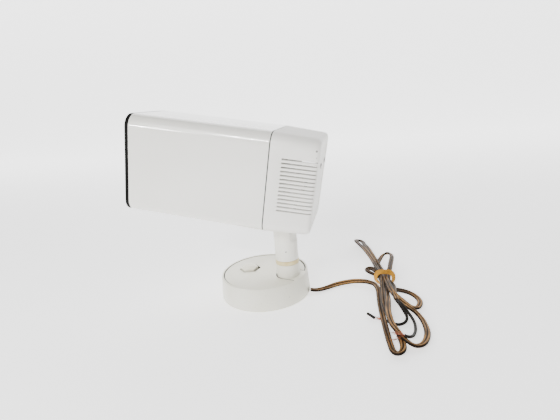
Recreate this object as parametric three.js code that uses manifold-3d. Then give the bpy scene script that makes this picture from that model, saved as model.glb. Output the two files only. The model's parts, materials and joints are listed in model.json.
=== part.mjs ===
// A box-shaped reflector spotlight that tilts and swivels on a round, weighted table base.
// Millimetres, +Z up. The origin is the centre of the base's underside, and the lamp's nose
// points along -X.
import * as THREE from "three";
import { mergeVertices } from "three/addons/utils/BufferGeometryUtils.js";
import Module from "manifold-3d";

const wasm = await Module();
wasm.setup();

// ---- Driving dimensions ----
const GAP = 0.3; // between pieces that touch
const RUNNING_GAP = 0.7; // round pieces that move

const BASE_RADIUS = 50;
const BASE_HEIGHT = 25.7;
const BASE_DRAFT = 1.7; // how much narrower the drum is at its rim
const BASE_WALL = 2.1;
const BASE_TURN = -16.8; // degrees from the head's line to the base's own line
const FLOOR_CLEARANCE = 0.4; // under the drum's edge
const PAD_THICKNESS = 1.2;
const PAD_RADIUS = 36;
const COVER_THICKNESS = 1.6;
const WEIGHT_THICKNESS = 8.6;
const PLATE_THICKNESS = 2.2;
const PLATE_INSET = 0.5;
const PLATE_GAP = 1.1;
const LEDGE_WIDTH = 4.2;
const COVER_SCREWS = 3;
const POST_RADIUS = 4;
const DRUM_SIDES = 72;
const STEM_SIDES = 48;

const STEM_OFFSET = 30.4; // from the base's centre
const STEM_RADIUS = 12.4;
const STEM_WALL = 2.6;
const FOOT_HEIGHT = 39.2;
const SWIVEL_RING_HEIGHT = 5;
const SWIVEL_RING_LIP = 0.2;
const STEM_WEB = 5;
const NIPPLE_RADIUS = 5;
const NIPPLE_BORE = 3.6;
const NUT_HEIGHT = 3.6;
const RELIEF_BOTTOM = 68; // where a flat starts on the stem's side
const RELIEF_FLAT = 9.5; // from the stem's axis
const TONGUE_BOTTOM = 79;
const TONGUE_HALF_THICKNESS = 6.6;
const TONGUE_HALF_WIDTH = 11;
const TONGUE_CROWN = 8.6;
const WIRE_WAY_RADIUS = 3;

const PIVOT_HEIGHT = 97;
const PIVOT_FROM_SEAM = 10.7;
const PIVOT_ABOVE_FLOOR = 12;
const HEAD_TILT = 11.2; // degrees, nose up
const HEAD_WIDTH = 90;
const HEAD_HEIGHT = 96.3;
const HEAD_CORNER = 12.3;
const SLEEVE_LENGTH = 138;
const SLEEVE_WALL = 1.1;
const RIM_LENGTH = 3.6;
const RIM_FACE = 5;
const RIM_INSET = 0.3;
const SPIGOT_LENGTH = 9;
const REAR_LENGTH = 44.8;
const REAR_WALL = 2.4;
const REAR_TAPER_SIDE = 2.7;
const REAR_TAPER_TOP = 2.1;
const REAR_TAPER_BOTTOM = 2.7;
const REAR_EDGE = 4.4;
const SEAM = 0.6; // between the sleeve and the rear housing
const SLOT_BEHIND_PIVOT = 28; // lets the head tilt over the stem
const SLOT_COUNT = 14;
const SLOT_PITCH = 3.7;
const SLOT_HEIGHT = 1;
const SLOT_SILL = 1.1; // how far its sill slopes down
const SLOT_STOP = 1; // short of the rear face
const SLOT_START = 11.5;
const SLOT_TOP = 25.5;
const PANEL_WIDTH = 46;
const PANEL_HEIGHT = 66;
const PANEL_THICKNESS = 1.4;
const PANEL_RAISE = 3; // its middle above the head's middle

const BRACKET_SHEET = 2;
const BRACKET_HALF_LENGTH = 8;
const WASHER_THICKNESS = 1.8;
const TILT_BOLT_RADIUS = 3;
const BAFFLE_DEPTH = 26; // from the rim's face
const BAFFLE_THICKNESS = 1.6;
const BULB_RADIUS = 40;
const BULB_LENGTH = 112;
const BULB_WALL = 1;
const BULB_RECESS = 24;
const CAP_RADIUS = 13.2;
const CAP_LENGTH = 27;
const HOLDER_RADIUS = 20;
const HOLDER_LENGTH = 48;

const SWITCH_OFFSET = -19.3;
const WINDOW_RADIUS = 12; // of the six-sided window, to its corners
const BUTTON_RADIUS = 10.2;
const BUTTON_HEIGHT = 4.2; // above the plate
const BUTTON_REST = -1.2; // from the window's middle
const SWITCH_BODY = [27, 17, 8.6];

const CORD_WIDTH = 5.6;
const CORD_EXIT_ANGLE = 11.6; // degrees from the base's own line
const CORD_EXIT_HEIGHT = 4.4;
const CLAMP_RADIUS = BASE_RADIUS - 11.5; // the clamp's place, from the base's centre
const CLAMP_HEIGHT = 6.4;
const CHANNEL_START = 25; // of the cord's channel through the weight
const TERMINAL_SIDE = 17;
const TIE_WIDTH = 6.6;
const TIE_THICKNESS = 1.3;
const TIE_OUTSIDE = [24.5, 18];
const TIE_CORNER = 5.5;
const TIE_CENTRE = [131.9, 17.5];
const HANK_THICKNESS = 14.4;

// ---- Heights and radii that follow ----
const degrees = (angle) => (angle * Math.PI) / 180;
const COVER_BOTTOM = PAD_THICKNESS + GAP;
const COVER_TOP = COVER_BOTTOM + COVER_THICKNESS;
const WEIGHT_BOTTOM = COVER_TOP + GAP;
const WEIGHT_TOP = WEIGHT_BOTTOM + WEIGHT_THICKNESS;
const RIM_RADIUS = BASE_RADIUS - BASE_DRAFT;
const SHELL_INSIDE = RIM_RADIUS - BASE_WALL;
const PLATE_TOP = BASE_HEIGHT - PLATE_INSET;
const PLATE_BOTTOM = PLATE_TOP - PLATE_THICKNESS;
const PLATE_RADIUS = SHELL_INSIDE - PLATE_GAP;
const LEDGE_TOP = PLATE_BOTTOM - GAP;
const COVER_RADIUS = SHELL_INSIDE - GAP;
const FOOT_BOTTOM = WEIGHT_TOP + NUT_HEIGHT + 2 * GAP;
const POST_CIRCLE = SHELL_INSIDE - POST_RADIUS - 0.6;
const RING_BOTTOM = FOOT_HEIGHT + GAP;
const RING_TOP = RING_BOTTOM + SWIVEL_RING_HEIGHT - 2 * GAP;
const STEM_BOTTOM = RING_TOP + GAP;
const STEM_BORE = STEM_RADIUS - STEM_WALL;
const WEB_TOP = STEM_BOTTOM + STEM_WEB;
const UPPER_NUT_BOTTOM = WEB_TOP + 1.5 + 2 * GAP;
const UPPER_NUT_TOP = UPPER_NUT_BOTTOM + NUT_HEIGHT;
const BORE_TOP = RELIEF_BOTTOM - 5;
const WIRE_WAY_TOP = PIVOT_HEIGHT - 12;
const HEAD_FLOOR = -HEAD_HEIGHT / 2;
const PIVOT_IN_HEAD = HEAD_FLOOR + PIVOT_ABOVE_FLOOR;
const NOSE = -(SLEEVE_LENGTH + RIM_LENGTH + GAP);
const SPIGOT_INSET = SLEEVE_WALL + GAP;
const BULB_FACE = NOSE + BULB_RECESS;
const CAP_END = BULB_FACE + BULB_LENGTH;
const HOLDER_FRONT = CAP_END - CAP_LENGTH + 3;
const HOLDER_BACK = HOLDER_FRONT + HOLDER_LENGTH;
const CHASSIS_FRONT = HOLDER_BACK + GAP;
const CHASSIS_BACK = CHASSIS_FRONT + BRACKET_SHEET;
const CHASSIS_BOTTOM = -12.5;
const CHASSIS_TOP = 38;
const REAR_INSIDE = REAR_LENGTH - REAR_WALL;
const EAR_INSIDE = TONGUE_HALF_WIDTH + WASHER_THICKNESS + 2 * GAP;
const EAR_OUTSIDE = EAR_INSIDE + BRACKET_SHEET;
const FLOOR_RISE = (REAR_TAPER_BOTTOM * (PIVOT_FROM_SEAM + BRACKET_HALF_LENGTH)) / REAR_LENGTH;
const FLANGE_BOTTOM = HEAD_FLOOR + REAR_WALL + FLOOR_RISE + GAP;
const FLANGE_TOP = FLANGE_BOTTOM + BRACKET_SHEET;
const BRACKET_TOP = PIVOT_IN_HEAD + TONGUE_CROWN + 6;
const BRACKET_SCREW_REACH = EAR_OUTSIDE + 8.5;
const BRACKET_FLANGE_OUTSIDE = BRACKET_SCREW_REACH + 4.5;
const SLOT_HALF_WIDTH = STEM_RADIUS + RUNNING_GAP;
const SLOT_END = PIVOT_FROM_SEAM + SLOT_BEHIND_PIVOT;

// ---- Solids ----
// A closed three.js geometry as a manifold-3d solid.
function solid(geometry) {
  const bare = geometry.clone();
  bare.deleteAttribute("normal");
  bare.deleteAttribute("uv");
  const merged = mergeVertices(bare, 1e-4);
  return new wasm.Manifold(
    new wasm.Mesh({
      numProp: 3,
      vertProperties: merged.getAttribute("position").array,
      triVerts: new Uint32Array(merged.index.array),
    }),
  );
}

const join = (first, ...rest) => rest.reduce((all, one) => all.add(one), first);
const cut = (first, ...rest) => rest.reduce((all, one) => all.subtract(one), first);

function block(lowX, highX, lowY, highY, lowZ, highZ) {
  const box = new THREE.BoxGeometry(highX - lowX, highY - lowY, highZ - lowZ);
  box.translate((lowX + highX) / 2, (lowY + highY) / 2, (lowZ + highZ) / 2);
  return solid(box);
}

// A round bar standing on Z at (x, y), or lying along X or Y.
function bar(radius, low, high, { x = 0, y = 0, z = 0, along = "z", sides = 24, end = radius } = {}) {
  const cylinder = new THREE.CylinderGeometry(end, radius, high - low, sides);
  cylinder.translate(0, (low + high) / 2, 0);
  if (along === "z") cylinder.rotateX(Math.PI / 2);
  if (along === "x") cylinder.rotateZ(-Math.PI / 2);
  cylinder.translate(x, y, z);
  return solid(cylinder);
}

function turned(profile, sides = 48) {
  return new THREE.LatheGeometry(
    profile.map(([radius, height]) => new THREE.Vector2(radius, height)),
    sides,
  ).rotateX(Math.PI / 2);
}

function roundedOutline(width, height, corner) {
  const shape = new THREE.Shape();
  const w = width / 2 - corner;
  const h = height / 2 - corner;
  shape.absarc(w, h, corner, 0, Math.PI / 2);
  shape.absarc(-w, h, corner, Math.PI / 2, Math.PI);
  shape.absarc(-w, -h, corner, Math.PI, 1.5 * Math.PI);
  shape.absarc(w, -h, corner, 1.5 * Math.PI, 2 * Math.PI);
  return shape;
}

// An outline drawn in Y and Z, drawn out along X from low to high.
function alongX(shape, low, high, options = {}) {
  const geometry = new THREE.ExtrudeGeometry(shape, {
    depth: high - low,
    bevelEnabled: false,
    curveSegments: 5,
    ...options,
  });
  geometry.applyMatrix4(new THREE.Matrix4().set(0, 0, 1, low, 1, 0, 0, 0, 0, 1, 0, 0, 0, 0, 0, 1));
  return geometry;
}

// The head's section, smaller by inset all round, from low to high.
function headSection(low, high, inset = 0) {
  const corner = Math.max(1, HEAD_CORNER - inset);
  return solid(alongX(roundedOutline(HEAD_WIDTH - 2 * inset, HEAD_HEIGHT - 2 * inset, corner), low, high));
}

function sixSided(radius, low, high, x) {
  const hexagon = new THREE.CylinderGeometry(radius, radius, high - low, 6);
  hexagon.rotateX(Math.PI / 2);
  hexagon.translate(x, 0, (low + high) / 2);
  return solid(hexagon);
}

// A round tube along a smooth curve through the points.
function tubeAlong(points, radius, steps) {
  const circle = new THREE.Shape();
  circle.absarc(0, 0, radius, 0, 2 * Math.PI);
  const curve = new THREE.CatmullRomCurve3(points.map((p) => new THREE.Vector3(...p)));
  const geometry = new THREE.ExtrudeGeometry(circle, {
    steps,
    curveSegments: 4,
    extrudePath: curve,
    bevelEnabled: false,
  });
  return solid(geometry);
}

// ---- Finishes ----
function finish(color, roughness, metalness = 0) {
  return new THREE.MeshStandardMaterial({ color, roughness, metalness });
}

const whiteEnamel = () => finish(0xdedcd6, 0.2);
const whiteMoulding = () => finish(0xdddcd6, 0.45);
const warmMoulding = () => finish(0xdedccf, 0.4);
const ivory = () => finish(0xe0dcc4, 0.35);
const agedNylon = () => finish(0xe2d5a4, 0.5);
const black = () => finish(0x121211, 0.55);
const steel = () => finish(0xa8a9aa, 0.35, 1);
const zincPlate = () => finish(0xb9b6a8, 0.45, 1);
const brass = () => finish(0xb59a5c, 0.35, 1);
const castIron = () => finish(0x4b4a48, 0.75, 0.6);
const felt = () => finish(0x2c3a30, 0.95);
const bakelite = () => finish(0x2a211d, 0.4);
const glass = () => finish(0xd9d9d4, 0.15);
const brownVinyl = () => finish(0x8a6a48, 0.35);
const mustardTie = () => finish(0xcf9f4a, 0.7);

const lamp = new THREE.Group();
const base = new THREE.Group();
const flex = new THREE.Group();
const stem = new THREE.Group();
const head = new THREE.Group();
base.rotation.z = degrees(BASE_TURN);
stem.position.x = STEM_OFFSET;
stem.rotation.z = -degrees(BASE_TURN);
head.position.z = PIVOT_HEIGHT;
head.rotation.y = degrees(HEAD_TILT);
lamp.add(base);
lamp.add(flex);
base.add(stem);
stem.add(head);

function add(group, name, manifold, material, place = [0, 0, 0]) {
  const made = manifold.getMesh();
  const geometry = new THREE.BufferGeometry();
  const count = made.numVert;
  const positions = new Float32Array(count * 3);
  for (let i = 0; i < count; i++) {
    positions.set(made.vertProperties.subarray(i * made.numProp, i * made.numProp + 3), i * 3);
  }
  geometry.setAttribute("position", new THREE.BufferAttribute(positions, 3));
  geometry.setIndex(new THREE.BufferAttribute(made.triVerts, 1));
  geometry.computeVertexNormals();
  const mesh = new THREE.Mesh(geometry, material);
  mesh.name = name;
  mesh.position.set(...place);
  group.add(mesh);
}

// Pieces of the head are drawn from the middle of its seam, and hang on the tilt axis.
const IN_HEAD = [-PIVOT_FROM_SEAM, 0, -PIVOT_IN_HEAD];
const addToHead = (name, manifold, material) => add(head, name, manifold, material, IN_HEAD);

// ---- Base ----
function coverScrewPlaces() {
  return Array.from({ length: COVER_SCREWS }, (_, i) => {
    const angle = degrees(180 / COVER_SCREWS + (360 * i) / COVER_SCREWS);
    return [POST_CIRCLE * Math.cos(angle), POST_CIRCLE * Math.sin(angle)];
  });
}

function cordExit(radius, height = CORD_EXIT_HEIGHT) {
  const angle = degrees(CORD_EXIT_ANGLE);
  return [radius * Math.cos(angle), radius * Math.sin(angle), height];
}

// A plain oval bar on the cord's way out, from one radius to another.
function exitOval(from, to, width, height, z = CORD_EXIT_HEIGHT) {
  const shape = roundedOutline(width, height, height / 2 - 0.05);
  const geometry = alongX(shape, from, to, { curveSegments: 3 });
  geometry.translate(0, 0, z);
  geometry.rotateZ(degrees(CORD_EXIT_ANGLE));
  return solid(geometry);
}

function drum() {
  const edge = 1.4;
  const lip = 0.8;
  return solid(
    turned(
      [
        [SHELL_INSIDE, FLOOR_CLEARANCE],
        [BASE_RADIUS - edge, FLOOR_CLEARANCE],
        [BASE_RADIUS - edge * 0.3, FLOOR_CLEARANCE + edge * 0.3],
        [BASE_RADIUS, FLOOR_CLEARANCE + edge],
        [RIM_RADIUS, BASE_HEIGHT - lip],
        [RIM_RADIUS - lip * 0.3, BASE_HEIGHT - lip * 0.3],
        [RIM_RADIUS - lip, BASE_HEIGHT],
        [SHELL_INSIDE, BASE_HEIGHT],
        [SHELL_INSIDE, LEDGE_TOP],
        [SHELL_INSIDE - LEDGE_WIDTH, LEDGE_TOP],
        [SHELL_INSIDE - LEDGE_WIDTH, LEDGE_TOP - 2],
        [SHELL_INSIDE, LEDGE_TOP - 2],
        [SHELL_INSIDE, FLOOR_CLEARANCE],
      ],
      DRUM_SIDES,
    ),
  );
}

function addBaseShell() {
  const foot = bar(STEM_RADIUS, FOOT_BOTTOM, FOOT_HEIGHT, { x: STEM_OFFSET, sides: STEM_SIDES });
  const bridge = block(
    STEM_OFFSET,
    SHELL_INSIDE + BASE_WALL / 2,
    -STEM_RADIUS,
    STEM_RADIUS,
    FOOT_BOTTOM,
    PLATE_TOP,
  ).intersect(bar(SHELL_INSIDE + BASE_WALL / 2, 0, BASE_HEIGHT, { sides: DRUM_SIDES }));
  const posts = coverScrewPlaces().map(([x, y]) =>
    bar(POST_RADIUS, COVER_TOP + GAP, LEDGE_TOP - 0.5, { x, y, sides: 16 }),
  );
  const threads = coverScrewPlaces().map(([x, y]) =>
    bar(1.7, COVER_TOP, COVER_TOP + 10, { x, y, sides: 8 }),
  );
  const bore = bar(NIPPLE_RADIUS + GAP, 0, FOOT_HEIGHT + 1, { x: STEM_OFFSET, sides: 24 });
  const exit = exitOval(SHELL_INSIDE - 2, BASE_RADIUS + 2, CORD_WIDTH + 2.4, CORD_WIDTH + 1.2);
  const shell = cut(join(drum(), foot, bridge, ...posts), bore, exit, ...threads);
  add(base, "base_shell", shell, warmMoulding());
}

function addBasePlate() {
  const disc = bar(PLATE_RADIUS, PLATE_BOTTOM, PLATE_TOP, { sides: DRUM_SIDES });
  const notchWidth = STEM_RADIUS + PLATE_GAP;
  const notch = join(
    bar(notchWidth, 0, BASE_HEIGHT, { x: STEM_OFFSET, sides: STEM_SIDES }),
    block(STEM_OFFSET, BASE_RADIUS, -notchWidth, notchWidth, 0, BASE_HEIGHT),
  );
  const window = sixSided(WINDOW_RADIUS, 0, BASE_HEIGHT, SWITCH_OFFSET);
  add(base, "base_plate", cut(disc, notch, window), warmMoulding());
}

function addWeightAndCover() {
  const holes = coverScrewPlaces().map(([x, y]) =>
    bar(POST_RADIUS + 1, 0, BASE_HEIGHT, { x, y, sides: 16 }),
  );
  const [exitX, exitY] = cordExit(1);
  const channel = new THREE.BoxGeometry(BASE_RADIUS, 25, BASE_HEIGHT);
  channel.translate(CHANNEL_START + BASE_RADIUS / 2, 0, 0);
  channel.rotateZ(Math.atan2(exitY, exitX));
  const nutWell = bar(11, 0, BASE_HEIGHT, { x: STEM_OFFSET, sides: 28 });
  const disc = bar(COVER_RADIUS - 0.6, WEIGHT_BOTTOM, WEIGHT_TOP, { sides: 48 });
  add(base, "base_weight", cut(disc, ...holes, solid(channel), nutWell), castIron());

  const shafts = coverScrewPlaces().map(([x, y]) => bar(1.9, 0, 5, { x, y, sides: 8 }));
  const cover = bar(COVER_RADIUS, COVER_BOTTOM, COVER_TOP, { sides: 48 });
  const notch = exitOval(COVER_RADIUS - 6, BASE_RADIUS, CORD_WIDTH + 3.6, CORD_WIDTH + 2);
  add(base, "base_cover", cut(cover, notch, ...shafts), zincPlate());
  add(base, "base_pad", bar(PAD_RADIUS, 0, PAD_THICKNESS, { sides: 40 }), felt());
  coverScrewPlaces().forEach(([x, y], i) => {
    const screw = join(
      bar(3.2, FLOOR_CLEARANCE, COVER_BOTTOM - GAP, { x, y, sides: 12 }),
      bar(1.4, FLOOR_CLEARANCE + 0.4, COVER_TOP + 8, { x, y, sides: 8 }),
    );
    add(base, `cover_screw_${i + 1}`, screw, zincPlate());
  });
}

function addSwitch() {
  const [length, width, height] = SWITCH_BODY;
  const top = PLATE_BOTTOM - 1.2;
  const slot = block(SWITCH_OFFSET - 6, SWITCH_OFFSET + 6, -2.6, 2.6, top - 5, top + 1);
  const rear = SWITCH_OFFSET - length / 2;
  const body = block(rear, rear + length, -width / 2, width / 2, top - height, top);
  add(base, "switch_body", cut(body, slot), black());

  const x = SWITCH_OFFSET + BUTTON_REST;
  const low = PLATE_BOTTOM - 0.8;
  const high = PLATE_TOP + BUTTON_HEIGHT;
  const crown = new THREE.SphereGeometry(18, 24, 18);
  crown.translate(x, 0, high - 18);
  const skirt = bar(BUTTON_RADIUS * 0.98, low - 1, high + 1, { x, sides: 36 });
  const cap = sixSided(BUTTON_RADIUS, low, high, x).intersect(solid(crown)).intersect(skirt);
  const neck = block(x - 2, x + 2, -2, 2, top - 4, low + 1);
  add(base, "switch_button", join(cap, neck), ivory());
}

function addCordEntry() {
  const inside = SHELL_INSIDE - 1.6;
  const outside = BASE_RADIUS - 0.2;
  const sleeve = exitOval(inside, outside, CORD_WIDTH + 1.8, CORD_WIDTH + 0.6);
  const passage = exitOval(inside - 1, outside + 1, CORD_WIDTH + 0.6, CORD_WIDTH - 0.6);
  add(base, "cord_bush", cut(sleeve, passage), warmMoulding());

  const lead = tubeAlong(
    [
      cordExit(inside + 0.5), cordExit(CLAMP_RADIUS + 3.5, 5.2), cordExit(CLAMP_RADIUS, CLAMP_HEIGHT),
      cordExit(CLAMP_RADIUS - 4, 7.6),
      [29.5, 14.5, 12], [25, 17, 15], [16, 13, 15], [8.5, 2, 15], [6, -8, 15.6],
      [6, -TERMINAL_SIDE + GAP, 16],
    ],
    CORD_WIDTH / 2 - 0.9,
    22,
  );
  add(base, "inner_lead", lead, brownVinyl());
  const saddle = new THREE.BoxGeometry(5, 16, 8);
  saddle.translate(CLAMP_RADIUS, 0, COVER_TOP + GAP + 4);
  const open = new THREE.BoxGeometry(7, CORD_WIDTH, CLAMP_HEIGHT);
  open.translate(CLAMP_RADIUS, 0, CLAMP_HEIGHT / 2);
  const turn = degrees(CORD_EXIT_ANGLE);
  const groove = exitOval(CLAMP_RADIUS - 9, CLAMP_RADIUS + 9, CORD_WIDTH, CORD_WIDTH - 0.2, CLAMP_HEIGHT);
  add(base, "cord_clamp", cut(solid(saddle.rotateZ(turn)), groove, solid(open.rotateZ(turn))), bakelite());
  const terminals = block(-5, 15, -TERMINAL_SIDE - 14, -TERMINAL_SIDE, WEIGHT_TOP + GAP, WEIGHT_TOP + 9);
  add(base, "terminal_block", terminals, ivory());
}

// ---- Swivel: a threaded tube clamps the stem on a nylon ring, and lets it turn ----
function addSwivel() {
  const x = STEM_OFFSET;
  const ring = cut(
    bar(STEM_RADIUS + SWIVEL_RING_LIP, RING_BOTTOM, RING_TOP, { x, sides: STEM_SIDES }),
    bar(NIPPLE_RADIUS + GAP, 0, PIVOT_HEIGHT, { x, sides: 24 }),
  );
  add(base, "swivel_ring", ring, agedNylon());
  const nippleBottom = FOOT_BOTTOM - GAP - NUT_HEIGHT - 0.5;
  const nipple = cut(
    bar(NIPPLE_RADIUS, nippleBottom, UPPER_NUT_TOP + 2, { x, sides: 24 }),
    bar(NIPPLE_BORE, 0, PIVOT_HEIGHT, { x, sides: 16 }),
  );
  add(base, "swivel_nipple", nipple, zincPlate());
  const hole = bar(NIPPLE_RADIUS + GAP, 0, PIVOT_HEIGHT, { x, sides: 24 });
  const lowerNut = sixSided(8.6, FOOT_BOTTOM - GAP - NUT_HEIGHT, FOOT_BOTTOM - GAP, x);
  add(base, "swivel_nut_lower", cut(lowerNut, hole), zincPlate());

  const centred = bar(NIPPLE_RADIUS + GAP, 0, PIVOT_HEIGHT, { sides: 24 });
  const washer = bar(STEM_BORE - 1, WEB_TOP + GAP, UPPER_NUT_BOTTOM - GAP, { sides: 32 });
  add(stem, "swivel_spring_washer", cut(washer, centred), steel());
  const upperNut = sixSided(8.6, UPPER_NUT_BOTTOM, UPPER_NUT_TOP, 0);
  add(stem, "swivel_nut_upper", cut(upperNut, centred), zincPlate());
}

// ---- Stem: a tube whose rear is cut back, with a flat tongue for the tilt joint on top ----
function addStem() {
  const high = PIVOT_HEIGHT + TONGUE_CROWN;
  const body = bar(STEM_RADIUS, STEM_BOTTOM, high, { sides: STEM_SIDES });
  const bore = bar(STEM_BORE, WEB_TOP, BORE_TOP, { sides: 28 });
  const nippleHole = bar(NIPPLE_RADIUS + GAP, 0, WEB_TOP + 1, { sides: 24 });
  const relief = new THREE.Shape();
  relief.moveTo(RELIEF_FLAT, high + 1);
  relief.lineTo(RELIEF_FLAT, RELIEF_BOTTOM);
  relief.quadraticCurveTo(RELIEF_FLAT, RELIEF_BOTTOM - 2.4, STEM_RADIUS + 1, RELIEF_BOTTOM - 4.5);
  relief.lineTo(STEM_RADIUS + 1, high + 1);
  const options = { depth: 40, bevelEnabled: false, curveSegments: 6 };
  const reliefGeometry = new THREE.ExtrudeGeometry(relief, options);
  reliefGeometry.translate(0, 0, -20);
  reliefGeometry.rotateX(Math.PI / 2);
  reliefGeometry.rotateZ(degrees(BASE_TURN));
  const front = block(-20, -TONGUE_HALF_THICKNESS, -20, 20, TONGUE_BOTTOM, high + 1);
  const rear = block(TONGUE_HALF_THICKNESS, 20, -20, 20, TONGUE_BOTTOM, high + 1);
  const sides = [-1, 1].map((side) => {
    const inner = side * TONGUE_HALF_WIDTH;
    const outer = side * (STEM_RADIUS + 2);
    return block(-20, 20, Math.min(inner, outer), Math.max(inner, outer), TONGUE_BOTTOM + 5, high + 1);
  });
  const crown = join(
    bar(TONGUE_CROWN, -20, 20, { along: "y", z: PIVOT_HEIGHT, sides: 32 }),
    block(-20, 20, -20, 20, 0, PIVOT_HEIGHT),
  );
  const pin = bar(TILT_BOLT_RADIUS + GAP, -20, 20, { along: "y", z: PIVOT_HEIGHT, sides: 16 });
  const wireWay = bar(WIRE_WAY_RADIUS, BORE_TOP - 1, WIRE_WAY_TOP, { x: 1, sides: 16 });
  const wireExit = bar(WIRE_WAY_RADIUS, 1, 20, { along: "x", z: WIRE_WAY_TOP, sides: 16 });
  const hollows = [bore, nippleHole, wireWay, wireExit, pin];
  const tube = cut(body, ...hollows, solid(reliefGeometry), front, rear, ...sides).intersect(crown);
  add(stem, "stem_tube", tube, warmMoulding());

  const lead = tubeAlong(
    [
      [0, 0, FOOT_BOTTOM], [0, 0, WEB_TOP], [1, 0, BORE_TOP], [1, 0, WIRE_WAY_TOP - 8],
      [2.4, 0, WIRE_WAY_TOP - 2], [TONGUE_HALF_THICKNESS + 0.6, 0, WIRE_WAY_TOP],
    ],
    1.6,
    20,
  );
  add(stem, "stem_lead", lead, brownVinyl());
}

// ---- Tilt joint: a bolt through the tongue and a steel bracket, with friction washers ----
function addTiltJoint() {
  [-1, 1].forEach((side, i) => {
    const inner = side * (TONGUE_HALF_WIDTH + GAP);
    const outer = inner + side * WASHER_THICKNESS;
    const low = Math.min(inner, outer);
    const high = Math.max(inner, outer);
    const washer = cut(
      bar(6.4, low, high, { along: "y", z: PIVOT_HEIGHT, sides: 28 }),
      bar(TILT_BOLT_RADIUS + GAP, low - 1, high + 1, { along: "y", z: PIVOT_HEIGHT, sides: 16 }),
    );
    add(stem, `friction_washer_${i + 1}`, washer, black());
  });

  const x = PIVOT_FROM_SEAM;
  const z = PIVOT_IN_HEAD;
  const half = BRACKET_HALF_LENGTH;
  const outer = block(x - half, x + half, -EAR_OUTSIDE, EAR_OUTSIDE, FLANGE_BOTTOM, BRACKET_TOP);
  const roof = BRACKET_TOP - BRACKET_SHEET;
  const inner = block(x - 20, x + 20, -EAR_INSIDE, EAR_INSIDE, FLANGE_BOTTOM - 1, roof);
  const flange = block(
    x - half, x + half, -BRACKET_FLANGE_OUTSIDE, BRACKET_FLANGE_OUTSIDE, FLANGE_BOTTOM, FLANGE_TOP,
  );
  const pin = bar(TILT_BOLT_RADIUS + GAP, -30, 30, { along: "y", x, z, sides: 16 });
  const wireHole = bar(4.5, BRACKET_TOP - 5, BRACKET_TOP + 1, { x, sides: 16 });
  const screwHoles = bracketScrewPlaces().map(([sx, sy]) =>
    bar(2, FLANGE_BOTTOM - 1, FLANGE_TOP + 1, { x: sx, y: sy, sides: 8 }),
  );
  addToHead("tilt_bracket", cut(join(outer, flange), inner, pin, wireHole, ...screwHoles), zincPlate());

  bracketScrewPlaces().forEach(([sx, sy], i) => {
    const screw = join(
      bar(3.2, FLANGE_TOP + GAP, FLANGE_TOP + GAP + 1.8, { x: sx, y: sy, sides: 12 }),
      bar(1.4, FLANGE_BOTTOM - 2.2, FLANGE_TOP + GAP + 0.5, { x: sx, y: sy, sides: 8 }),
    );
    addToHead(`bracket_screw_${i + 1}`, screw, zincPlate());
  });

  const headLow = -EAR_OUTSIDE - GAP - 3.4;
  const boltHead = bar(5.4, headLow, -EAR_OUTSIDE - GAP, { along: "y", x, z, sides: 6 });
  const shank = bar(TILT_BOLT_RADIUS, headLow + 1, EAR_OUTSIDE + 6, { along: "y", x, z, sides: 16 });
  addToHead("tilt_bolt", join(boltHead, shank), zincPlate());
  const nut = cut(
    bar(5.4, EAR_OUTSIDE + GAP, EAR_OUTSIDE + GAP + 4, { along: "y", x, z, sides: 6 }),
    bar(TILT_BOLT_RADIUS + GAP, 0, 40, { along: "y", x, z, sides: 16 }),
  );
  addToHead("tilt_nut", nut, zincPlate());
}

function bracketScrewPlaces() {
  return [-1, 1].map((side) => [PIVOT_FROM_SEAM, side * BRACKET_SCREW_REACH]);
}

// ---- Head ----
function sleeveScrewPlaces() {
  return [-1, 1].map((side) => [-SPIGOT_LENGTH / 2, (side * HEAD_WIDTH) / 3.6]);
}

function addSleeve() {
  const hollow = headSection(-SLEEVE_LENGTH - 1, 1, SLEEVE_WALL);
  const holes = sleeveScrewPlaces().map(([x, y]) =>
    bar(1.7, HEAD_FLOOR - 1, HEAD_FLOOR + 3, { x, y, sides: 8 }),
  );
  addToHead("head_sleeve", cut(headSection(-SLEEVE_LENGTH, -SEAM), hollow, ...holes), whiteEnamel());

  sleeveScrewPlaces().forEach(([x, y], i) => {
    const screw = join(
      bar(2.8, HEAD_FLOOR - GAP - 1.3, HEAD_FLOOR - GAP, { x, y, sides: 12 }),
      bar(1.3, HEAD_FLOOR - GAP - 0.5, HEAD_FLOOR + SPIGOT_INSET + REAR_WALL + 1, { x, y, sides: 8 }),
    );
    addToHead(`sleeve_screw_${i + 1}`, screw, zincPlate());
  });
}

function addFront() {
  const flange = headSection(NOSE, NOSE + RIM_LENGTH, RIM_INSET);
  const spigot = headSection(NOSE + 1, NOSE + RIM_LENGTH + 8, SPIGOT_INSET);
  const opening = headSection(NOSE - 1, NOSE + 30, RIM_FACE);
  addToHead("front_rim", cut(join(flange, spigot), opening), black());

  const low = NOSE + BAFFLE_DEPTH;
  const plate = headSection(low, low + BAFFLE_THICKNESS, SPIGOT_INSET);
  const liner = headSection(NOSE + RIM_LENGTH + 8 + GAP, low + BAFFLE_THICKNESS, SPIGOT_INSET);
  const linerInside = headSection(NOSE, low, RIM_FACE);
  const hole = bar(BULB_RADIUS + 1.4, low - 1, low + 4, { along: "x", sides: 40 });
  addToHead("front_baffle", cut(join(plate, liner), linerInside, hole), black());
}

// Points of the rear housing move inwards in step with their distance behind the seam.
function tapered(geometry, inset = 0) {
  const points = geometry.getAttribute("position");
  for (let i = 0; i < points.count; i++) {
    const share = Math.max(0, points.getX(i)) / REAR_LENGTH;
    const y = points.getY(i);
    const z = points.getZ(i);
    const drop = z > 0 ? REAR_TAPER_TOP : REAR_TAPER_BOTTOM;
    points.setY(i, y * (1 - (share * REAR_TAPER_SIDE) / (HEAD_WIDTH / 2 - inset)));
    points.setZ(i, z * (1 - (share * drop) / (HEAD_HEIGHT / 2 - inset)));
  }
  return geometry;
}

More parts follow.
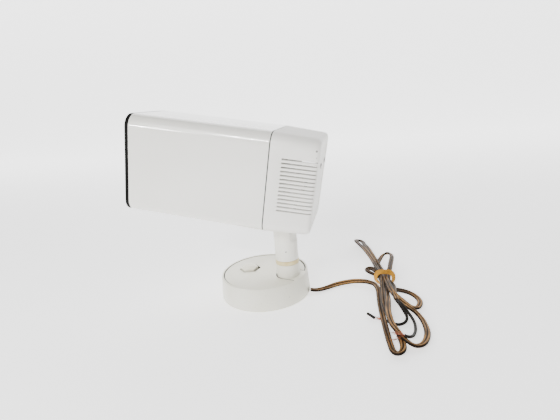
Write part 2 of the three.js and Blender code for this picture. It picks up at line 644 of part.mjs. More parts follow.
function rearShell(low, high, inset, edge) {
  const outline = roundedOutline(HEAD_WIDTH - 2 * inset, HEAD_HEIGHT - 2 * inset, HEAD_CORNER - inset);
  const geometry = alongX(outline, low + edge, high - edge, {
    bevelEnabled: true,
    bevelThickness: edge,
    bevelSize: edge,
    bevelOffset: -edge,
    bevelSegments: 3,
  });
  return solid(tapered(geometry, inset));
}

function chassisScrewPlaces() {
  const y = HEAD_WIDTH / 2 - 14;
  return [[-y, 32], [y, 32], [-y, -8], [y, -8]];
}

// Each slot is deep at its top and has a sloping sill below, so that the strips between look like louvres.
function ventSlots() {
  const slots = [];
  const outer = HEAD_WIDTH / 2 + 1;
  const sill = HEAD_WIDTH / 2 - REAR_TAPER_SIDE - 0.2;
  const inner = HEAD_WIDTH / 2 - REAR_TAPER_SIDE - REAR_WALL - 1.5;
  for (let i = 0; i < SLOT_COUNT; i++) {
    const top = SLOT_TOP + SLOT_HEIGHT / 2 - i * SLOT_PITCH;
    for (const side of [-1, 1]) {
      const wedge = new THREE.Shape();
      wedge.moveTo(side * outer, top);
      wedge.lineTo(side * inner, top);
      wedge.lineTo(side * inner, top - SLOT_HEIGHT);
      wedge.lineTo(side * sill, top - SLOT_HEIGHT);
      wedge.lineTo(side * outer, top - SLOT_HEIGHT - SLOT_SILL);
      slots.push(solid(alongX(wedge, SLOT_START, REAR_LENGTH - SLOT_STOP)));
    }
  }
  return slots;
}

function addRearHousing() {
  const outside = rearShell(-REAR_EDGE, REAR_LENGTH, 0, REAR_EDGE).subtract(block(-9, 0, -80, 80, -80, 80));
  const inside = rearShell(-1, REAR_INSIDE, REAR_WALL, 1);
  const spigot = headSection(-SPIGOT_LENGTH, 1.5, SPIGOT_INSET).subtract(
    headSection(-SPIGOT_LENGTH - 1, 3, SPIGOT_INSET + REAR_WALL),
  );
  const shell = join(outside.subtract(inside), spigot);
  const bosses = chassisScrewPlaces().map(([y, z]) =>
    bar(3.6, CHASSIS_BACK + GAP, REAR_INSIDE + 1, { along: "x", y, z, sides: 12 }),
  );
  const threads = chassisScrewPlaces().map(([y, z]) =>
    bar(1.7, CHASSIS_BACK, CHASSIS_BACK + 12, { along: "x", y, z, sides: 8 }),
  );
  const stemSlot = block(-SPIGOT_LENGTH - 1, SLOT_END, -SLOT_HALF_WIDTH, SLOT_HALF_WIDTH, -60, -40);
  const screwHoles = [
    ...sleeveScrewPlaces().map(([x, y]) => bar(1.6, -60, -40, { x, y, sides: 8 })),
    ...bracketScrewPlaces().map(([x, y]) => bar(1.7, HEAD_FLOOR + 0.8, -40, { x, y, sides: 8 })),
  ];
  const pocket = alongX(
    roundedOutline(PANEL_WIDTH + 2 * GAP, PANEL_HEIGHT + 2 * GAP, 4),
    REAR_LENGTH - PANEL_THICKNESS,
    REAR_LENGTH + 2,
  );
  pocket.translate(0, 0, PANEL_RAISE);
  const panelThreads = panelScrewPlaces().map(([y, z]) =>
    bar(1.5, REAR_INSIDE - 1, REAR_LENGTH, { along: "x", y, z, sides: 8 }),
  );
  const cuts = [...threads, ...ventSlots(), stemSlot, ...screwHoles, solid(pocket), ...panelThreads];
  const housing = cut(join(shell, ...bosses), ...cuts);
  addToHead("rear_housing", housing, whiteMoulding());
}

function panelScrewPlaces() {
  return [-1, 1].map((side) => [(side * PANEL_WIDTH) / 2 - side * 5, PANEL_RAISE + PANEL_HEIGHT / 4]);
}

function addRearPanel() {
  const low = REAR_LENGTH - PANEL_THICKNESS + GAP;
  const plate = alongX(roundedOutline(PANEL_WIDTH, PANEL_HEIGHT, 4 - GAP), low, REAR_LENGTH - 0.2);
  plate.translate(0, 0, PANEL_RAISE);
  const holes = panelScrewPlaces().map(([y, z]) =>
    bar(1.5, low - 1, REAR_LENGTH + 1, { along: "x", y, z, sides: 8 }),
  );
  addToHead("rear_panel", cut(solid(plate), ...holes), whiteMoulding());
  panelScrewPlaces().forEach(([y, z], i) => {
    const screw = join(
      bar(2.6, REAR_LENGTH - 0.2 + GAP, REAR_LENGTH + 1.1, { along: "x", y, z, sides: 12 }),
      bar(1.2, REAR_LENGTH - 3, REAR_LENGTH + 0.5, { along: "x", y, z, sides: 8 }),
    );
    addToHead(`panel_screw_${i + 1}`, screw, steel());
  });
}

function addChassis() {
  const y = HEAD_WIDTH / 2 - 9;
  const plate = block(CHASSIS_FRONT, CHASSIS_BACK, -y, y, CHASSIS_BOTTOM, CHASSIS_TOP);
  const bore = bar(NIPPLE_RADIUS + GAP, CHASSIS_FRONT - 1, CHASSIS_BACK + 1, { along: "x", sides: 24 });
  const holes = chassisScrewPlaces().map(([sy, sz]) =>
    bar(1.9, CHASSIS_FRONT - 1, CHASSIS_BACK + 1, { along: "x", y: sy, z: sz, sides: 8 }),
  );
  addToHead("chassis_plate", cut(plate, bore, ...holes), zincPlate());
  chassisScrewPlaces().forEach(([sy, sz], i) => {
    const screw = join(
      bar(3.2, CHASSIS_FRONT - GAP - 1.8, CHASSIS_FRONT - GAP, { along: "x", y: sy, z: sz, sides: 12 }),
      bar(1.4, CHASSIS_FRONT - GAP - 0.8, CHASSIS_BACK + 9, { along: "x", y: sy, z: sz, sides: 8 }),
    );
    addToHead(`chassis_screw_${i + 1}`, screw, zincPlate());
  });
}

function addLampholder() {
  const along = "x";
  const mouth = bar(CAP_RADIUS + 1.6, HOLDER_FRONT - 1, CAP_END + 2, { along, sides: 28 });
  const nippleBore = bar(NIPPLE_RADIUS + GAP, CAP_END, HOLDER_BACK + 1, { along, sides: 24 });
  const front = bar(HOLDER_RADIUS, HOLDER_FRONT, HOLDER_BACK - 12, { along, sides: 28 });
  const end = HOLDER_RADIUS * 0.62;
  const back = bar(HOLDER_RADIUS, HOLDER_BACK - 12.5, HOLDER_BACK, { along, sides: 28, end });
  addToHead("lampholder", cut(join(front, back), mouth, nippleBore), bakelite());
  const shell = cut(
    bar(CAP_RADIUS + 1.2, HOLDER_FRONT + 1, CAP_END + 1, { along, sides: 28 }),
    bar(CAP_RADIUS + 0.5, HOLDER_FRONT - 1, CAP_END + 3, { along, sides: 28 }),
  );
  addToHead("lampholder_shell", shell, brass());
  const nipple = cut(
    bar(NIPPLE_RADIUS, HOLDER_BACK - 7, CHASSIS_BACK + 7, { along, sides: 24 }),
    bar(NIPPLE_BORE, HOLDER_BACK - 8, CHASSIS_BACK + 8, { along, sides: 16 }),
  );
  addToHead("holder_nipple", nipple, zincPlate());
  const nut = cut(
    bar(8.6, CHASSIS_BACK + GAP, CHASSIS_BACK + GAP + NUT_HEIGHT, { along, sides: 6 }),
    bar(NIPPLE_RADIUS + GAP, CHASSIS_BACK, CHASSIS_BACK + NUT_HEIGHT + 1, { along, sides: 24 }),
  );
  addToHead("holder_nut", nut, zincPlate());
}

// A reflector bulb: a cone of thin silvered glass with a domed front, open at its neck, and a screw cap.
function addBulb() {
  const capFront = CAP_END - CAP_LENGTH;
  const shoulder = BULB_FACE + 17;
  const wall = new THREE.Vector2(BULB_WALL, 0);
  const neck = CAP_RADIUS - 0.8;
  const outline = [
    [0, BULB_FACE],
    [22, BULB_FACE + 3],
    [BULB_RADIUS - 4, BULB_FACE + 9],
    [BULB_RADIUS, shoulder],
    [BULB_RADIUS - 5, shoulder + 16],
    [24, shoulder + 38],
    [14.5, capFront - 9],
    [neck, capFront - GAP],
  ].map(([radius, x]) => new THREE.Vector2(radius, x));
  const outside = new THREE.SplineCurve(outline).getPoints(14);
  const inside = outside.map((point) => point.clone().sub(wall)).filter((point) => point.x > 2 * BULB_WALL);
  inside[0].set(0, BULB_FACE + BULB_WALL);
  outside[0].x = 0;
  const shell = new THREE.LatheGeometry([...outside, ...inside.reverse()], 28).rotateZ(-Math.PI / 2);
  addToHead("bulb_glass", solid(shell), glass());
  const along = "x";
  const cap = cut(
    join(
      bar(CAP_RADIUS, capFront, CAP_END - 4, { along, sides: 28 }),
      bar(CAP_RADIUS * 0.8, CAP_END - 4.2, CAP_END, { along, end: 5 }),
    ),
    bar(CAP_RADIUS - 1, capFront - 1, CAP_END - 5, { along, sides: 28 }),
  );
  addToHead("bulb_cap", cap, brass());
}

function addHeadLead() {
  const x = PIVOT_FROM_SEAM + TONGUE_CROWN + 3.4;
  const end = CHASSIS_BACK + 7;
  const lead = tubeAlong(
    [
      [x, 0, PIVOT_IN_HEAD + 4], [x + 1, 0, BRACKET_TOP - 2], [x + 4, 0, -14],
      [end + 4, 0, -6], [end + 3, 0, -1], [end - 3, 0, 0],
    ],
    1.6,
    12,
  );
  addToHead("head_lead", lead, brownVinyl());
}

// ---- Cord: a flat two-core lead to a tied hank beside the base ----
// The route is laid from a base of radius CORD_LAID_FROM, and moves out with the base's edge.
const CORD_LAID_FROM = 50;
const CORD_ROUTE = [
  [51.2, -4.6, 4.3], [55.5, -4.2, 3.6], [61, -2, 3], [68.8, 2.9, 3], [78.3, 10.6, 3], [88.2, 15.6, 3.2],
  [98.2, 17.6, 3.8], [108.2, 15.6, 4.8], [114, 12, 5.6], [118.6, 7.4, 6.2],
];
const HANK_LEFT = [
  [119.6, -12], [119, -37], [121, -62], [124.5, -86], [128.5, -108],
];
const HANK_END = [[133, -115], [140.5, -113.5], [143, -106.5], [152, -106], [163, -97]];
const HANK_RIGHT = [
  [167.5, -80], [165.5, -62], [166.5, -45], [168.5, -30], [167, -17], [159, -8], [148, -4],
];
const HANK_UPPER_RIGHT = [[146, 28], [146.5, 45], [148, 68], [145, 87], [137, 92], [129, 86]];
const HANK_TIP = [[119.5, 96], [112.5, 122], [108, 141], [99, 143.5], [94.5, 136]];
const HANK_UPPER_LEFT = [[99, 113], [107, 88], [114, 62], [110.5, 44], [114.5, 37.5], [120, 30]];

const CORE_END = [[118.6, -58, 3], [114.6, -54, 3], [111.6, -50, 3.2]];

function hankOutline() {
  const [x, y] = TIE_CENTRE;
  const waist = TIE_OUTSIDE[0] / 2 - TIE_THICKNESS - GAP;
  const reach = TIE_WIDTH / 2 + 2;
  const points = [
    [x - waist, y - reach], ...HANK_LEFT, ...HANK_END, ...HANK_RIGHT, [x + waist, y - reach],
    [x + waist, y + reach], ...HANK_UPPER_RIGHT, ...HANK_TIP, ...HANK_UPPER_LEFT, [x - waist, y + reach],
  ];
  return new THREE.Shape(points.map(([px, py]) => new THREE.Vector2(px, py)));
}

// The tie's section, smaller by inset all round, drawn out along Y on both sides of the tie's middle.
function tieSection(inset, halfLength, hole = null) {
  const [width, height] = TIE_OUTSIDE;
  const shape = roundedOutline(width - 2 * inset, height - 2 * inset, TIE_CORNER - inset);
  if (hole !== null) {
    shape.holes.push(roundedOutline(width - 2 * hole, height - 2 * hole, TIE_CORNER - hole));
  }
  const options = { depth: 2 * halfLength, bevelEnabled: false, curveSegments: 5 };
  const geometry = new THREE.ExtrudeGeometry(shape, options);
  geometry.rotateX(Math.PI / 2);
  geometry.translate(TIE_CENTRE[0], TIE_CENTRE[1] + halfLength, height / 2 + 0.1);
  return solid(geometry);
}

function addCord() {
  const turn = degrees(BASE_TURN + CORD_EXIT_ANGLE);
  const outwards = BASE_RADIUS - CORD_LAID_FROM;
  flex.position.set(outwards * Math.cos(turn), outwards * Math.sin(turn), 0);
  const [x, y] = TIE_CENTRE;
  const reach = TIE_WIDTH / 2 + GAP;
  const body = new THREE.ExtrudeGeometry(hankOutline(), { depth: HANK_THICKNESS, bevelEnabled: false });
  body.translate(0, 0, 0.2);
  const room = block(x - 30, x + 30, y - reach, y + reach, -1, HANK_THICKNESS + 2);
  const core = tieSection(TIE_THICKNESS + GAP, reach + 1.5);
  add(flex, "cord_hank", join(solid(body).subtract(room), core), brownVinyl());
  add(flex, "cord_tie", tieSection(0, TIE_WIDTH / 2, TIE_THICKNESS), mustardTie());
  add(flex, "cord_lead", tubeAlong(CORD_ROUTE, CORD_WIDTH / 2 - 0.1, 14), brownVinyl());
  add(flex, "bare_core_end", tubeAlong(CORE_END, 1.4, 4), brownVinyl());
}

addBaseShell();
addBasePlate();
addWeightAndCover();
addSwitch();
addCordEntry();
addSwivel();
addStem();
addTiltJoint();
addSleeve();
addFront();
addRearHousing();
addRearPanel();
addChassis();
addLampholder();
addBulb();
addHeadLead();
addCord();

export default lamp;
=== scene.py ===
import json
import math

import bmesh
import bpy
from mathutils import Matrix, Vector, noise

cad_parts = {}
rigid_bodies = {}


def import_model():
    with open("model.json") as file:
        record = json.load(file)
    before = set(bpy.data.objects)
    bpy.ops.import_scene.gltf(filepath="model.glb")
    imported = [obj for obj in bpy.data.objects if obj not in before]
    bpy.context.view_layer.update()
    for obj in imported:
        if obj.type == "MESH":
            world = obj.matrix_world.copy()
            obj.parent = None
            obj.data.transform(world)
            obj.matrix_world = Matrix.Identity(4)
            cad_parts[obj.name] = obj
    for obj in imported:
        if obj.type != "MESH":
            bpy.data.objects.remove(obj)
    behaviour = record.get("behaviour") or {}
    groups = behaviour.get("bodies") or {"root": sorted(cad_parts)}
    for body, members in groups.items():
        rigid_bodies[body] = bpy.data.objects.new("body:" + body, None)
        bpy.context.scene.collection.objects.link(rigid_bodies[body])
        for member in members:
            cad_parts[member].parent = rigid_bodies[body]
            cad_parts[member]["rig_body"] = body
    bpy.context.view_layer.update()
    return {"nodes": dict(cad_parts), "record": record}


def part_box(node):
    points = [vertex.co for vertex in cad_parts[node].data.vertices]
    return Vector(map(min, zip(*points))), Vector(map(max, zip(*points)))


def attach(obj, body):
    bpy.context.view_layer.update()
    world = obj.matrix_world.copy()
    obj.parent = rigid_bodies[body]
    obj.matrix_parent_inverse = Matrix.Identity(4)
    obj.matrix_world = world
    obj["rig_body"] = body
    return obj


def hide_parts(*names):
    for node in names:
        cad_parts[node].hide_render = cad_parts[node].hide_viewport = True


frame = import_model()
MM = 0.001
SLOT_OF = {part["node"]: part["material_slot"] for part in frame["record"]["subparts"]}


# ---- Camera ----
# In front of the lamp and a little to its right, level with the top of the head and looking down.
# The three directions are the camera's own axes.
def add_camera():
    data = bpy.data.cameras.new("camera")
    data.sensor_width = 36
    data.lens = 25.03
    camera = bpy.data.objects.new("camera", data)
    right = Vector((0.97653, 0.19609, -0.08912))
    up = Vector((0.03235, 0.27557, 0.96073))
    back = Vector((0.21301, -0.94106, 0.26276))
    place = Vector((0.112915, -0.39244, 0.20492))
    turn = Matrix((right, up, back)).transposed().to_4x4()
    camera.matrix_world = Matrix.Translation(place) @ turn
    bpy.context.scene.collection.objects.link(camera)
    bpy.context.scene.camera = camera


add_camera()


# ---- Shader maths ----
# A shader value that Python's operators build maths nodes on, and the start and end of every material.
# Sizes and places in a material are in metres, since every piece stands at the origin.
class Value:
    def __init__(self, tree, socket):
        self.tree = tree
        self.socket = socket

    def maths(self, operation, *others):
        node = self.tree.nodes.new("ShaderNodeMath")
        node.operation = operation
        for slot, value in zip(node.inputs, (self, *others)):
            connect(self.tree, slot, value)
        return Value(self.tree, node.outputs[0])

    def __add__(self, other):
        return self.maths("ADD", other)

    def __sub__(self, other):
        return self.maths("SUBTRACT", other)

    def __mul__(self, other):
        return self.maths("MULTIPLY", other)

    def __rsub__(self, other):
        return (self * -1) + other

    __radd__ = __add__

    def ramp(self, low, high):
        """0 below low, 1 above high, and smooth between them."""
        node = self.tree.nodes.new("ShaderNodeMapRange")
        node.interpolation_type = "SMOOTHSTEP"
        connect(self.tree, node.inputs["Value"], self)
        node.inputs["From Min"].default_value = low
        node.inputs["From Max"].default_value = high
        return Value(self.tree, node.outputs["Result"])


def connect(tree, slot, value):
    if isinstance(value, Value):
        tree.links.new(value.socket, slot)
    else:
        slot.default_value = value


class Finish:
    """A material whose colour, roughness and relief vary over the piece, in its own coordinates."""

    def __init__(self, name, **constants):
        self.material = bpy.data.materials.new(name)
        self.material.use_nodes = True
        self.tree = self.material.node_tree
        self.shader = self.tree.nodes["Principled BSDF"]
        coordinates = self.tree.nodes.new("ShaderNodeTexCoord")
        self.place = Value(self.tree, coordinates.outputs["Object"])
        for name, value in constants.items():
            self.shader.inputs[name.replace("_", " ")].default_value = value

    def at(self, node_type, output, **inputs):
        node = self.tree.nodes.new(node_type)
        for name, value in inputs.items():
            connect(self.tree, node.inputs[name.replace("_", " ")], value)
        return Value(self.tree, node.outputs[output])

    def vector_maths(self, operation, output, *others):
        node = self.tree.nodes.new("ShaderNodeVectorMath")
        node.operation = operation
        for slot, value in zip(node.inputs, others):
            connect(self.tree, slot, value)
        return Value(self.tree, node.outputs[output])

    def scaled(self, x, y, z):
        return self.vector_maths("MULTIPLY", 0, self.place, (x, y, z))

    def noise(self, scale, detail=2.0, vector=None):
        return self.at(
            "ShaderNodeTexNoise", 0, Vector=vector or self.place, Scale=scale, Detail=detail
        )

    def from_axis(self):
        """The distance from the base's own axis."""
        return self.vector_maths("LENGTH", "Value", self.scaled(1, 1, 0))

    def height(self):
        return self.at("ShaderNodeSeparateXYZ", "Z", Vector=self.place)

    def attribute(self, name):
        node = self.tree.nodes.new("ShaderNodeAttribute")
        node.attribute_name = name
        return Value(self.tree, node.outputs["Fac"])

    def specks(self, scale, size):
        """Small round spots, 1 inside each spot."""
        cells = self.at("ShaderNodeTexVoronoi", 0, Vector=self.place, Scale=scale)
        return 1 - cells.ramp(size * 0.6, size)

    def spot(self, x, y, z, radius):
        """1 inside a ragged spot about a point."""
        distance = self.vector_maths("DISTANCE", "Value", self.place, (x, y, z))
        distance = distance + (self.noise(900) - 0.5) * radius
        return 1 - distance.ramp(radius * 0.75, radius)

    def edges(self, width):
        """1 along the piece's sharp edges."""
        bevel = self.tree.nodes.new("ShaderNodeBevel")
        bevel.samples = 4
        bevel.inputs["Radius"].default_value = width
        softened = Value(self.tree, bevel.outputs[0])
        normal = self.at("ShaderNodeNewGeometry", "Normal")
        return 1 - self.vector_maths("DOT_PRODUCT", "Value", softened, normal).ramp(0.80, 0.985)

    def mix(self, amount, first, second):
        node = self.tree.nodes.new("ShaderNodeMix")
        node.data_type = "RGBA"
        connect(self.tree, node.inputs["Factor"], amount)
        for slot, colour in ((6, first), (7, second)):
            if isinstance(colour, Value):
                connect(self.tree, node.inputs[slot], colour)
            else:
                node.inputs[slot].default_value = (*colour, 1)
        return Value(self.tree, node.outputs[2])

    def done(self, colour, roughness=None, relief=None, depth=0.0):
        connect(self.tree, self.shader.inputs["Base Color"], colour)
        if roughness is not None:
            connect(self.tree, self.shader.inputs["Roughness"], roughness)
        if relief is not None:
            bump = self.tree.nodes.new("ShaderNodeBump")
            bump.inputs["Strength"].default_value = 1
            bump.inputs["Distance"].default_value = depth
            connect(self.tree, bump.inputs["Height"], relief)
            self.tree.links.new(bump.outputs[0], self.shader.inputs["Normal"])
        return self.material


# ---- Lines, sweeps and rounded edges ----
# A smooth line through given points, a section carried along it, and the mesh work that the
# pieces share. Lines and sections are in millimetres, meshes in metres. A swept mesh keeps how far up
# the crown of its core each point is, from 0 to 1, and a body without crowns has one value all over.
PLAIN_CROWN = 0.45


def catmull_rom(points, steps):
    """A smooth line through the points, with steps samples to each stretch."""
    points = [Vector(p) for p in points]
    ends = [2 * points[0] - points[1], *points, 2 * points[-1] - points[-2]]
    line = []
    for before, start, end, after in zip(ends, ends[1:], ends[2:], ends[3:]):
        for i in range(steps):
            t = i / steps
            line.append(
                0.5 * (2 * start + t * (end - before)
                + t * t * (2 * before - 5 * start + 4 * end - after)
                + t * t * t * (3 * start - before - 3 * end + after))
            )
    return [*line, points[-1]]


def evenly(line, spacing):
    """The same line with its points a fixed distance apart."""
    points = [line[0]]
    carried = 0.0
    for a, b in zip(line, line[1:]):
        length = (b - a).length
        while carried + length >= spacing * len(points):
            points.append(a.lerp(b, (spacing * len(points) - carried) / length))
        carried += length
    return points


def length_of(line):
    return sum((b - a).length for a, b in zip(line, line[1:]))


def circle_section(radius, sides=14):
    return [
        (radius * math.cos(2 * math.pi * i / sides), radius * math.sin(2 * math.pi * i / sides))
        for i in range(sides)
    ]


def sweep(name, line, section, turn=lambda along: 0.0, floor=None, crown=None):
    """A closed mesh of a section carried along a line; turn is the section's roll about the line."""
    steep = 0.2
    pull_to_level = 0.25
    mesh = bmesh.new()
    layer = mesh.verts.layers.float.new("crown")
    crown = crown or [PLAIN_CROWN] * len(section)
    side = Vector((0, 0, 1)).cross(line[1] - line[0]).normalized()
    rings = []
    along = 0.0
    for i, point in enumerate(line):
        ahead = (line[min(i + 1, len(line) - 1)] - line[max(i - 1, 0)]).normalized()
        side = (side - ahead * side.dot(ahead)).normalized()
        level = Vector((0, 0, 1)).cross(ahead)
        if level.length > steep:
            level = level.normalized() * (1 if level.dot(side) > 0 else -1)
            side = side.lerp(level, pull_to_level).normalized()
        up = ahead.cross(side)
        roll = turn(along)
        across = side * math.cos(roll) + up * math.sin(roll)
        over = up * math.cos(roll) - side * math.sin(roll)
        ring = [point + across * a + over * b for a, b in section]
        if floor is not None:
            lift = max(0.0, floor - min(p.z for p in ring))
            ring = [p + Vector((0, 0, lift)) for p in ring]
        rings.append([mesh.verts.new(p * MM) for p in ring])
        for vertex, height in zip(rings[-1], crown):
            vertex[layer] = height
        if i + 1 < len(line):
            along += (line[i + 1] - point).length
    for a, b in zip(rings, rings[1:]):
        for j in range(len(section)):
            k = (j + 1) % len(section)
            mesh.faces.new((a[j], a[k], b[k], b[j]))
    mesh.faces.new(rings[0][::-1])
    mesh.faces.new(rings[-1])
    bmesh.ops.recalc_face_normals(mesh, faces=mesh.faces)
    return finished(name, mesh)


def finished(name, mesh):
    """The bmesh as a smooth-shaded object of its own in the scene."""
    data = bpy.data.meshes.new(name)
    mesh.to_mesh(data)
    mesh.free()
    for polygon in data.polygons:
        polygon.use_smooth = True
    piece = bpy.data.objects.new(name, data)
    bpy.context.scene.collection.objects.link(piece)
    return piece


def rounded(piece, width, segments=3, angle=30):
    """The piece with its sharp edges rounded to a radius in millimetres."""
    bevel = piece.modifiers.new("edges", "BEVEL")
    bevel.width = width * MM
    bevel.segments = segments
    bevel.limit_method = "ANGLE"
    bevel.angle_limit = math.radians(angle)
    bevel.harden_normals = True
    bevel.miter_outer = "MITER_ARC"
    return applied(piece)


def applied(piece):
    """The piece with its modifiers made real."""
    bpy.context.view_layer.update()
    seen = piece.evaluated_get(bpy.context.evaluated_depsgraph_get())
    piece_data = bpy.data.meshes.new_from_object(seen)
    piece.modifiers.clear()
    piece.data = piece_data
    return piece


def dress(piece, material, body, slot):
    piece.data.materials.clear()
    piece.data.materials.append(material)
    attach(piece, body)
    return piece


# ---- Flex ----
# One flat two-core flex from the base to where its cores part: out along the table, down and back,
# then up and down through the tie in loops. The points are where its middle runs.
FLEX_WIDTH = 5.6
FLEX_THICKNESS = 2.8
FLEX_SPACING = 1.1
ROUTE_STEPS = 14
ABOVE_FLOOR = 0.1
FLEX_ROUTE = [
    # from the base out to the hank
    [51.2, -4.6, 4.3], [55.5, -4.2, 3.6], [61, -2, 3], [68.8, 2.9, 3], [78.3, 10.6, 3], [88.2, 15.6, 3.2],
    [98.2, 17.6, 3.8], [108.2, 15.6, 4.8], [114, 12, 5.6], [119.5, 6, 6], [123.6, -6, 6],
    # towards the viewer and round the first turn
    [124.3, -20, 5.4], [124.8, -37.1, 4.6], [126.7, -64.4, 4], [128.8, -88, 3.4], [130.4, -101, 3],
    [131.6, -107.4, 3], [134.4, -111.2, 3.4], [138, -110.6, 4.6], [139.9, -105.6, 5.8], [139, -96, 6.6],
    # back through the tie to the long far turn
    [135.6, -80, 7.4], [130.9, -62, 8], [128.1, -41.4, 9], [128.4, -15, 9.5], [127.2, 15.8, 10.4],
    [124.6, 34, 11], [119.5, 64.8, 11], [111.3, 96.5, 10.6], [103, 120.3, 9.8], [99.9, 131, 9.2],
    [99.2, 137.4, 8.2], [101.4, 141.6, 7], [105.4, 142, 6], [108.6, 138, 5.4], [110.6, 128, 6],
    # through the tie again and round the widest near loop
    [115, 108, 8], [122.1, 71.2, 9.4], [129.4, 35, 9], [132.6, 15.8, 10.6], [134.4, -5, 12.6],
    [137, -22.7, 13], [143.4, -37.4, 11], [150.6, -46, 8.6], [157, -52.6, 6], [161.4, -63.7, 4],
    [162.3, -80, 3.2], [157.7, -94.8, 3.2], [150.3, -100.1, 3.6], [143, -98.2, 7], [137, -91, 10.6],
    # back through the tie to the second far turn
    [132.7, -79.9, 11.8], [130.9, -62.2, 13], [132, -39.7, 12.6], [133, -12, 8], [137.4, 15.8, 9.4],
    [139.6, 43.1, 11], [142.8, 65, 11], [143.2, 77, 10.8], [140.4, 84, 10.2], [135.6, 84.4, 9.2],
    # through the tie to the small near loop on the right
    [131, 77, 8], [125.6, 58, 6.4], [124.6, 36, 5], [127.6, 15.8, 4.6], [133.6, 0, 6], [141, -9, 7.6],
    [149, -10.8, 7], [157, -13.2, 5], [162.4, -20.1, 3.4], [163, -29.6, 3.4], [159, -38.4, 3.6],
    [152.6, -38.6, 5.4], [146, -29, 7], [139.4, -14, 7], [134.4, 2, 5], [132, 15.8, 4.4],
    # the small turn behind the tie, and on to where the cores part
    [124.6, 27, 5.4], [116.6, 36, 5.8], [113.2, 41.6, 6], [114.2, 46.4, 6.1], [118.6, 46.8, 6.2],
    [124.4, 37, 6.6], [132.8, 22, 6.8], [137.6, 11, 7.2], [139.4, -8, 10.4], [139, -26, 12.4],
    [140.6, -40, 12],
]


def two_core_section(width, thickness, segments=13):
    """Two round cores side by side with a web between them, as (across, up) points."""
    radius = thickness / 2
    offset = width / 2 - radius
    waist = math.radians(28)
    points = []
    for side in (1, -1):
        for i in range(segments + 1):
            angle = (waist + (2 * math.pi - 2 * waist) * i / segments) - math.pi
            points.append((side * (offset + radius * math.cos(angle)), side * radius * math.sin(angle)))
    return points


def vinyl(name, shade, body, copper_and_highlight, streak_strength):
    """Brown vinyl with painted shade towards the sides of each core and a painted highlight along its crown,
    which also stands for copper strands seen through the clear vinyl.
    """
    dusty = (0.050, 0.034, 0.023)
    finish = Finish(name, Coat_Weight=0.05, Coat_Roughness=0.08, Specular_IOR_Level=0.06)
    crown = finish.attribute("crown")
    cloud = finish.noise(60, 3)
    bright = finish.noise(17, 3).ramp(0.44, 0.60)
    strands = finish.noise(1300, 1, finish.scaled(1, 0.12, 1)).ramp(0.40, 0.72)
    # painted shade: darker towards each core's sides, where its round surface turns from the light
    colour = finish.mix(crown.ramp(0.35, 0.95), shade, body)
    grey = finish.noise(24, 2).ramp(0.46, 0.62) * crown.ramp(0.3, 0.9)
    colour = finish.mix(grey * 0.5, colour, dusty)
    # painted highlight along the crown of each core, mixed with copper strands seen through the vinyl
    highlight_and_strands = crown.ramp(0.66, 1.0) * (0.12 + bright * 0.88) * (0.5 + strands * 0.5)
    colour = finish.mix(highlight_and_strands * streak_strength, colour, copper_and_highlight)
    colour = finish.mix(cloud.ramp(0.56, 0.75) * 0.7, colour, shade)
    return finish.done(colour, 0.30 + cloud * 0.2, finish.noise(700, 2), 0.00012)


def through_tie(point, centre):
    """Drawn in towards the middle of the tie where the hank passes through it."""
    reach_along, hank_half_width, reach_across = 26, 8, 9
    gathered = 0.34
    beside = max(0.0, abs(point.x - centre.x) - hank_half_width)
    near = max(0.0, 1 - abs(point.y - centre.y) / reach_along) * max(0.0, 1 - beside / reach_across)
    share = 1 - gathered * near * near * (3 - 2 * near)
    return Vector((centre.x + (point.x - centre.x) * share, point.y, point.z))


def add_flex():
    low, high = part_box("cord_tie")
    tie = (low + high) / 2 / MM
    line = [through_tie(p, tie) for p in evenly(catmull_rom(FLEX_ROUTE, ROUTE_STEPS), FLEX_SPACING)]
    line = evenly(line, FLEX_SPACING)
    section = two_core_section(FLEX_WIDTH, FLEX_THICKNESS)
    crown = [abs(up) / (FLEX_THICKNESS / 2) for across, up in section]
    steady_roll, swing = math.radians(14), math.radians(34)
    flat_before = 30

    def roll(along):
        settle = min(1.0, along / flat_before)
        return settle * (steady_roll + swing * math.sin(along / 47) * math.sin(along / 23))

    flex = sweep("flex", line, section, roll, floor=ABOVE_FLOOR, crown=crown)
    # the first colour is painted shade on the sides of the cores, the last a painted highlight along their
    # crowns, partly copper seen through the vinyl
    shade, body, copper_and_highlight = (0.006, 0.0033, 0.0018), (0.048, 0.026, 0.0115), (0.58, 0.31, 0.11)
    dress(flex, vinyl("flex_vinyl", shade, body, copper_and_highlight, 0.75), "base", "flex_brown")
    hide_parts("cord_lead", "cord_hank")
    line_m = [p * MM for p in line]
    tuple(line_m[0])
    length_of(line_m)


# ---- Cores and bared ends ----
# The two cores apart from each other, each to a tuft of bared copper, and a cut-off length of sleeve
# that lies beyond the first tuft.
CORE_RADIUS = 1.4
CORE_SPACING = 0.9
CORE_A_ROUTE = [
    [140.0, -40, 11.6], [142.2, -45.4, 10.8], [145.5, -52.8, 8], [147.6, -58.6, 5], [145.4, -64.2, 3.2],
    [140, -66.8, 2.2], [134.2, -64.4, 1.9], [129.4, -60.6, 1.9], [125.6, -58.8, 1.9],
]
CORE_B_ROUTE = [
    [141.4, -40, 11.6], [145.2, -46.2, 10.4], [149.6, -54.6, 7], [152.9, -65, 5], [153, -76, 4.4],
    [150.4, -87, 5.4], [147, -93.4, 7.6], [143.6, -96.2, 9.6], [141.6, -96.4, 10.8],
]
SLEEVE_ROUTE = [[118.4, -57.4, 2.6], [116.6, -55.6, 3], [114.4, -53.2, 3.2], [112.2, -50.6, 3.2]]


def bright_copper():
    fresh, tarnished = (0.42, 0.15, 0.08), (0.16, 0.045, 0.025)
    finish = Finish("bare_copper", Metallic=1.0)
    tarnish = finish.noise(500, 3).ramp(0.35, 0.75)
    return finish.done(finish.mix(tarnish, fresh, tarnished), 0.28 + tarnish * 0.3)


